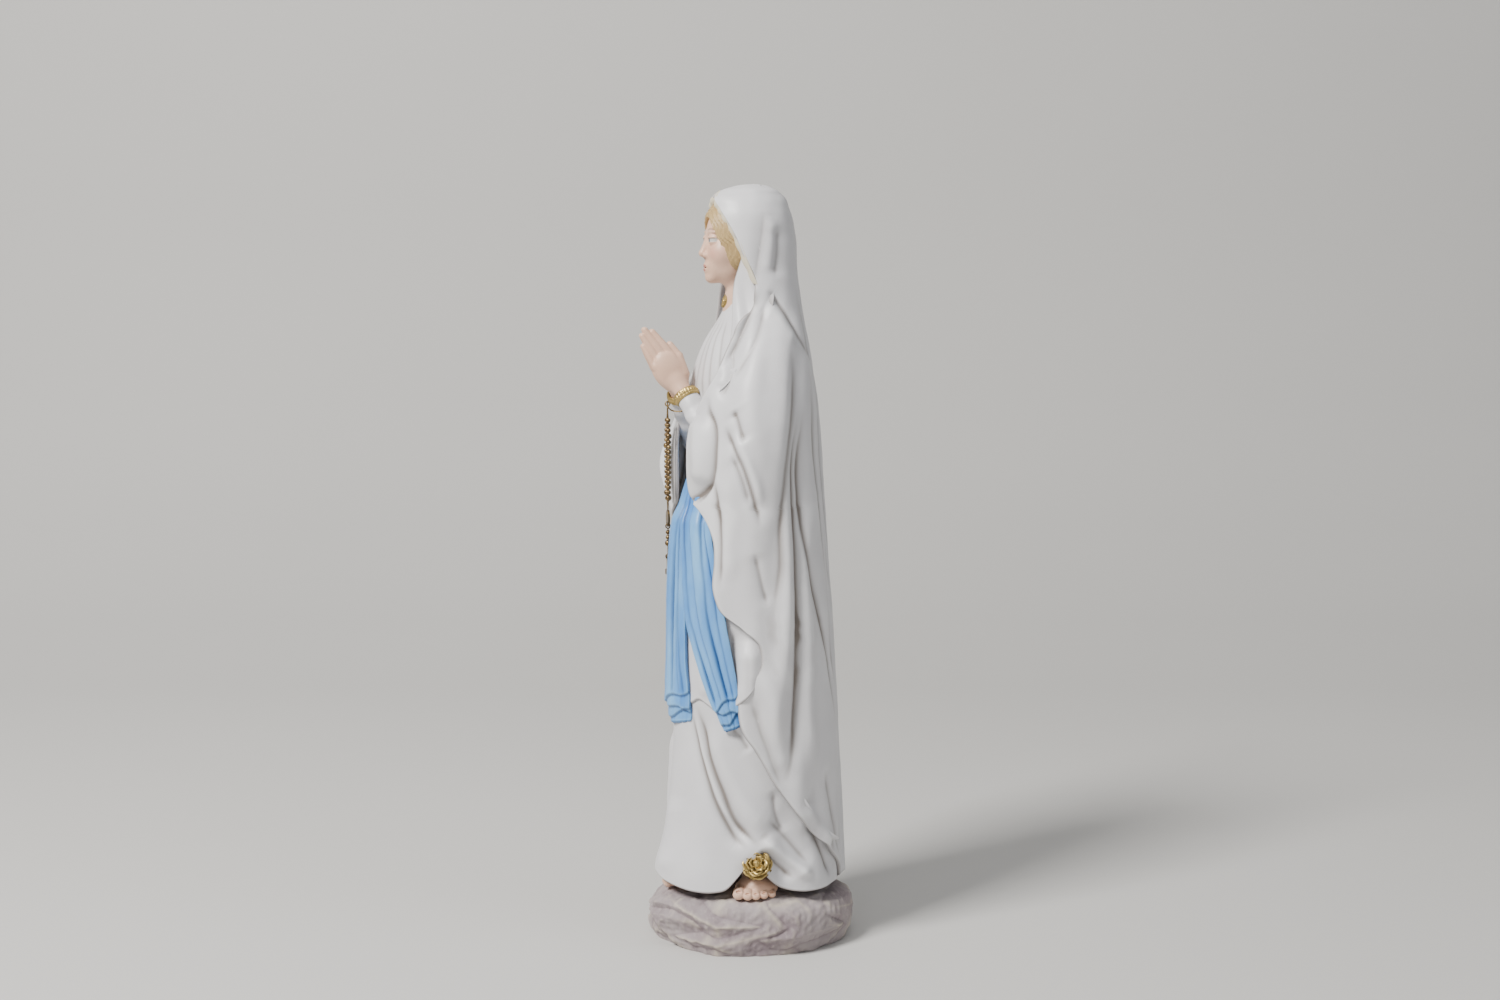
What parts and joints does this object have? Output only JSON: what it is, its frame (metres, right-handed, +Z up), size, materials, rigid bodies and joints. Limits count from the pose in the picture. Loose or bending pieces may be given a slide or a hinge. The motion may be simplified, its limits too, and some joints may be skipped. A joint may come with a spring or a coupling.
{
  "type": "madonna statue",
  "caption": "Standing praying madonna in a white mantle with a blue sash, on a rock, hands joined, with a metal rosary hanging from the right wrist.",
  "frame": {"origin": "middle of the rock base's flat underside, on the surface that the statue stands on", "axes": "+Z up, the face and hands look along -Y, +X is the figure's left"},
  "size_m": [0.0804, 0.0853, 0.3],
  "materials": {
    "white_cloth_paint": "painted cast resin, satin white with a grey-beige wash in the folds",
    "blue_paint": "painted cast resin, brushed light and mid blue",
    "skin_paint": "painted cast resin, satin skin",
    "hair_paint": "painted cast resin, golden fair hair",
    "cream_paint": "painted cast resin, cream",
    "rock_paint": "painted cast resin rock, mauve grey with beige ridges, matt",
    "gilt": "antique gold paint",
    "bronze": "antique bronze, worn bright on the beads"
  },
  "bodies": {
    "statue": {"rock_base": "rock_paint", "left_foot": "skin_paint", "right_foot": "skin_paint", "left_foot_rose": "gilt", "right_foot_rose": "gilt", "under_dress": "white_cloth_paint", "overskirt": "white_cloth_paint", "bodice": "white_cloth_paint", "mantle": "white_cloth_paint", "left_mantle_sleeve": "white_cloth_paint", "right_mantle_sleeve": "white_cloth_paint", "left_undersleeve": "white_cloth_paint", "right_undersleeve": "white_cloth_paint", "left_cuff_band": "gilt", "right_cuff_band": "gilt", "left_hand": "skin_paint", "right_hand": "skin_paint", "head": "skin_paint", "hair": "hair_paint", "veil_lining": "cream_paint", "left_veil_lappet": "white_cloth_paint", "right_veil_lappet": "white_cloth_paint", "collar_brooch": "gilt", "sash_waistband": "blue_paint", "sash_tail_left": "blue_paint", "sash_tail_right": "blue_paint", "rosary_wrist_wrap": "bronze"},
    "rosary_loop": {"rosary_loop_chain": "bronze", "rosary_decade_beads": "bronze", "rosary_large_beads": "bronze", "rosary_centre_medal": "bronze"},
    "rosary_drop": {"rosary_drop_chain": "bronze", "rosary_drop_beads": "bronze"},
    "crucifix": {"rosary_crucifix": "bronze"}
  },
  "joints": [
    {"name": "rosary_swing", "type": "hinge", "parent": "statue", "child": "rosary_loop", "pos_m": [-0.01094, -0.03114, 0.21366], "axis": [-1, 0, 0], "range_deg": [0, 20]},
    {"name": "drop_swing", "type": "hinge", "parent": "rosary_loop", "child": "rosary_drop", "pos_m": [-0.01094, -0.03114, 0.16566], "axis": [-1, 0, 0], "range_deg": [0, 12]},
    {"name": "crucifix_swing", "type": "hinge", "parent": "rosary_drop", "child": "crucifix", "pos_m": [-0.01094, -0.03114, 0.15166], "axis": [-1, 0, 0], "range_deg": [0, 12]}
  ]
}
